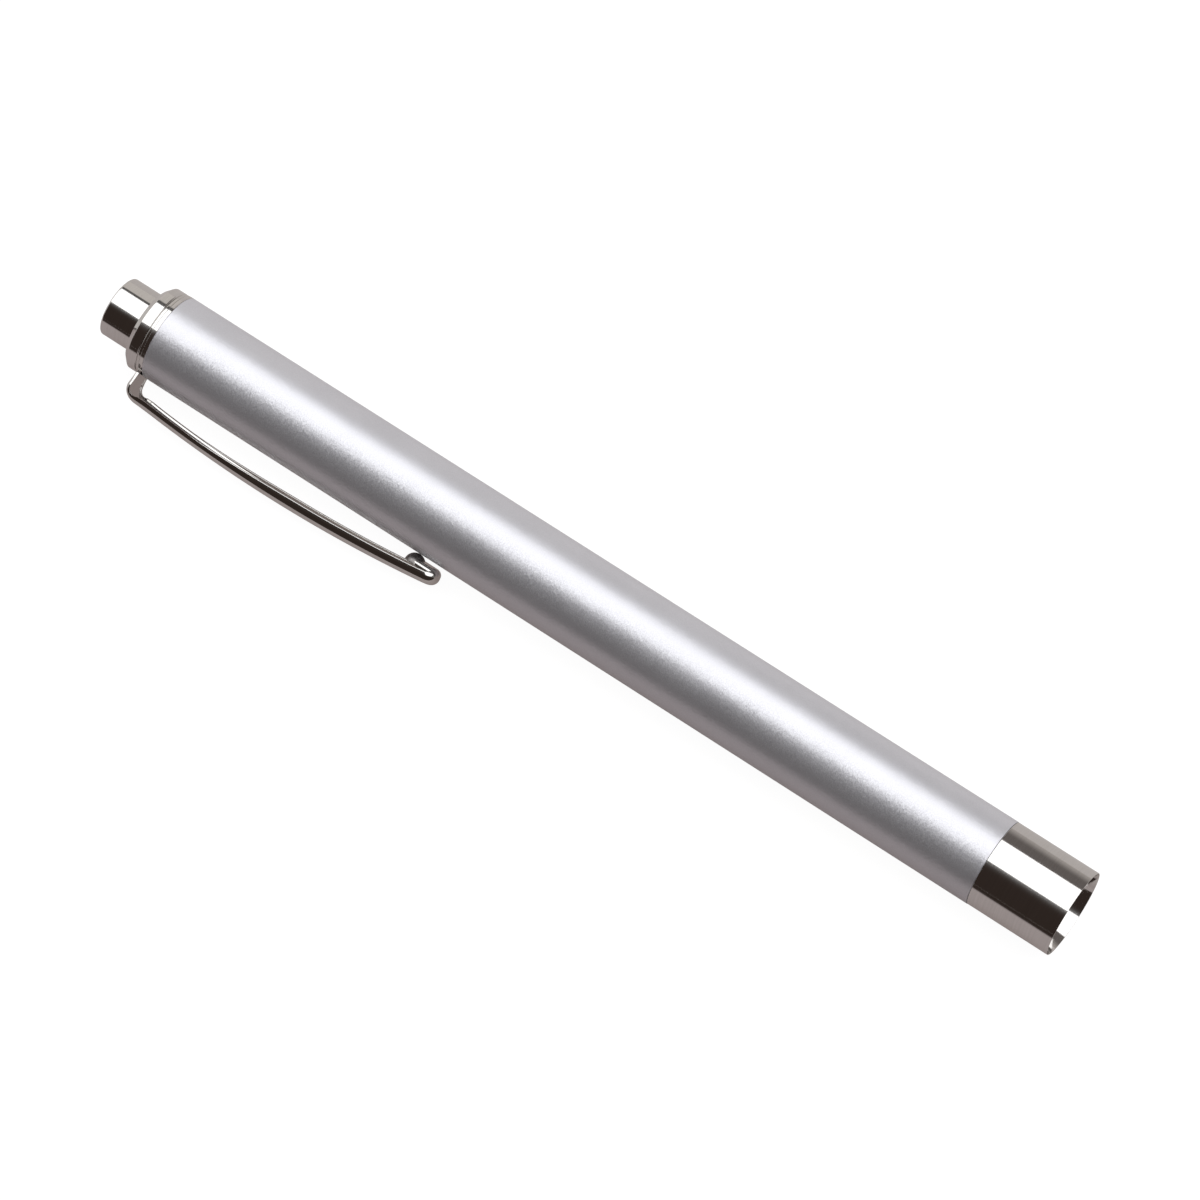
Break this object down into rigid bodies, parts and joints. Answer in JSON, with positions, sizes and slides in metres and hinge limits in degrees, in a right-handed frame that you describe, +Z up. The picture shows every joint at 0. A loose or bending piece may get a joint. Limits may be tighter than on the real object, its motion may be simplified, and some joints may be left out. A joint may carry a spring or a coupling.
{
  "type": "penlight",
  "caption": "Slim pocket penlight with a silver barrel, polished screw-on lamp head, spring pocket clip and push-button tail switch.",
  "frame": {"origin": "on the barrel's axis, in the plane of the lamp head's open mouth", "axes": "+X along the barrel towards the lamp, the way the light points; +Z up as the light lies on a table on its barrel and its clip; the clip is on the -Y side"},
  "size_m": [0.1466, 0.0157, 0.012],
  "materials": {
    "barrel_paint": "satin silver lacquer with fine flake",
    "bright_metal": "polished",
    "clip_steel": "polished sheet",
    "seal_rubber": "matt",
    "reflector_mirror": "bright",
    "lens_clear": "clear",
    "lead_metal": "tinned",
    "lamp_phosphor": "matt",
    "holder_plastic": "matt",
    "board_green": "solder mask",
    "resistor_body": "matt",
    "contact_brass": "bright",
    "spring_wire": "drawn wire",
    "plunger_plastic": "moulded",
    "rotor_plastic": "moulded",
    "housing_plastic": "moulded",
    "liner_film": "film",
    "cell_steel": "nickel plated",
    "cell_filling": "pressed powder",
    "cell_jacket": "printed film, plain",
    "cell_seal": "moulded"
  },
  "bodies": {
    "barrel": {"barrel": "barrel_paint", "cell_liner": "liner_film", "front_cell_can": "cell_steel", "front_cell_core": "cell_filling", "front_cell_jacket": "cell_jacket", "front_cell_seal": "cell_seal", "front_cell_base": "cell_steel", "rear_cell_can": "cell_steel", "rear_cell_core": "cell_filling", "rear_cell_jacket": "cell_jacket", "rear_cell_seal": "cell_seal", "rear_cell_base": "cell_steel", "tail_cap": "bright_metal", "clip_ring": "bright_metal", "clip_collar": "clip_steel", "cam_housing": "housing_plastic", "contact_ring": "contact_brass", "return_spring": "spring_wire", "battery_spring": "spring_wire"},
    "spring": {"front_spring": "spring_wire"},
    "seal": {"head_seal": "seal_rubber"},
    "head": {"head_tube": "bright_metal", "reflector": "reflector_mirror", "led_lens": "lens_clear", "led_frame": "lead_metal", "led_chip": "lamp_phosphor", "led_holder": "holder_plastic", "circuit_board": "board_green", "resistor": "resistor_body", "contact_pad": "contact_brass"},
    "button": {"push_button": "bright_metal", "plunger": "plunger_plastic", "rotor": "rotor_plastic", "contact_stem": "contact_brass"},
    "clip": {"clip_arm": "clip_steel"}
  },
  "joints": [
    {"name": "head_off", "type": "slide", "parent": "barrel", "child": "spring", "axis": [1, 0, 0], "range_m": [0, 0.025]},
    {"name": "head_travel", "type": "slide", "parent": "spring", "child": "seal", "axis": [1, 0, 0], "range_m": [0, 0.003]},
    {"name": "head_turn", "type": "hinge", "parent": "seal", "child": "head", "pos_m": [0, 0, 0], "axis": [1, 0, 0], "range_deg": [0, 2161]},
    {"name": "button_press", "type": "slide", "parent": "barrel", "child": "button", "axis": [1, 0, 0], "range_m": [0, 0.0022], "stiffness_N_per_m": 500, "springref_m": -0.003, "deforming": ["return_spring", "battery_spring"]},
    {"name": "clip_flex", "type": "hinge", "parent": "barrel", "child": "clip", "pos_m": [-0.13955, -0.00663, -0.00339], "axis": [0, 0.4545, -0.8907], "range_deg": [0, 4], "stiffness_Nm_per_rad": 4, "springref_deg": -1}
  ],
  "couplings": [
    {"joint": "head_turn", "follows": "head_travel", "rad_per_m": 12566}
  ]
}
